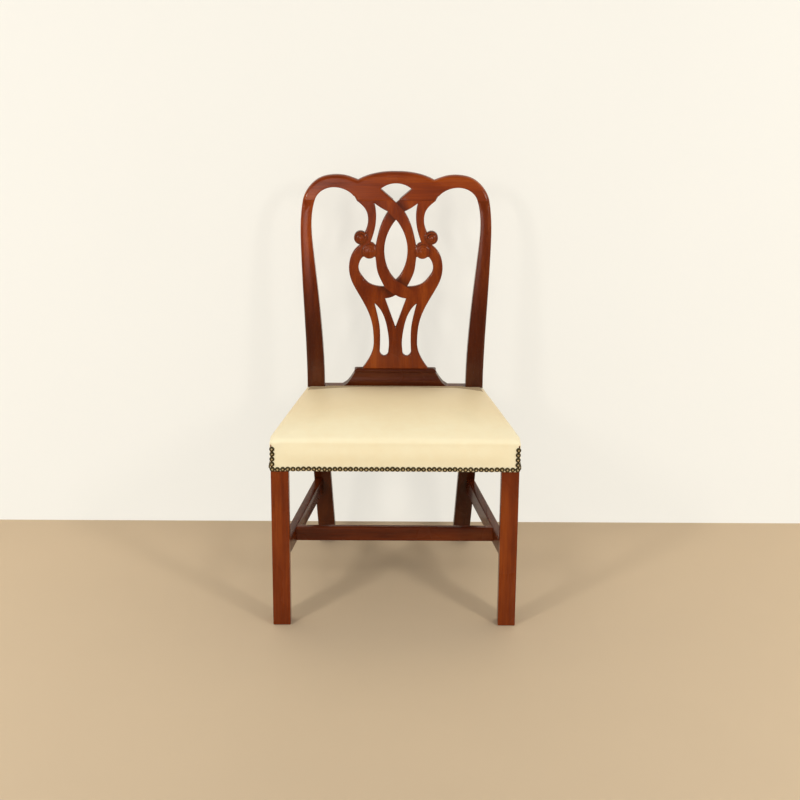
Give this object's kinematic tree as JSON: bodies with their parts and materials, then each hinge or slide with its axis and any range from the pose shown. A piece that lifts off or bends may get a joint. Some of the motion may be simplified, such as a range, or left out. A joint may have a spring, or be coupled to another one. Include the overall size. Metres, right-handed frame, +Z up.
{
  "type": "side chair",
  "caption": "Wooden side chair with a pierced interlaced splat, serpentine crest rail, leather seat stuffed over the rails with brass nails, square legs and stretchers.",
  "frame": {"origin": "on the floor, under the middle of the chair's overall width and depth", "axes": "+Z up, -Y towards the front of the seat, +X to the right of someone who faces the chair"},
  "size_m": [0.569, 0.5224, 0.965],
  "materials": {
    "polished_mahogany": "polished red-brown mahogany",
    "rail_wood": "planed hardwood, hidden under the leather",
    "block_wood": "sawn softwood",
    "antique_brass": "antiqued brass nail heads",
    "cream_leather": "smooth cream leather",
    "stuffing": "felted seat stuffing",
    "jute_webbing": "woven jute strap",
    "hessian": "open plain-weave hessian",
    "black_cambric": "thin black lining cloth",
    "blued_steel": "blued upholstery tacks",
    "screw_steel": "dull steel wood screws"
  },
  "bodies": {
    "root": {"front_leg_left": "polished_mahogany", "front_leg_right": "polished_mahogany", "rear_post_left": "polished_mahogany", "rear_post_right": "polished_mahogany", "crest_rail": "polished_mahogany", "back_splat": "polished_mahogany", "splat_shoe": "polished_mahogany", "rear_seat_rail": "polished_mahogany", "side_stretcher_left": "polished_mahogany", "side_stretcher_right": "polished_mahogany", "cross_stretcher": "polished_mahogany", "front_seat_rail": "rail_wood", "side_seat_rail_left": "rail_wood", "side_seat_rail_right": "rail_wood", "corner_block_front_left": "block_wood", "corner_block_front_right": "block_wood", "corner_block_rear_left": "block_wood", "corner_block_rear_right": "block_wood", "brass_nails_front": "antique_brass", "brass_nails_left": "antique_brass", "brass_nails_right": "antique_brass", "seat_leather": "cream_leather", "seat_pad": "stuffing", "webbing_front_to_back": "jute_webbing", "webbing_side_to_side": "jute_webbing", "seat_hessian": "hessian", "dust_cover": "black_cambric", "webbing_tacks": "blued_steel", "dust_cover_tacks": "blued_steel", "corner_block_screws": "screw_steel"}
  },
  "joints": []
}
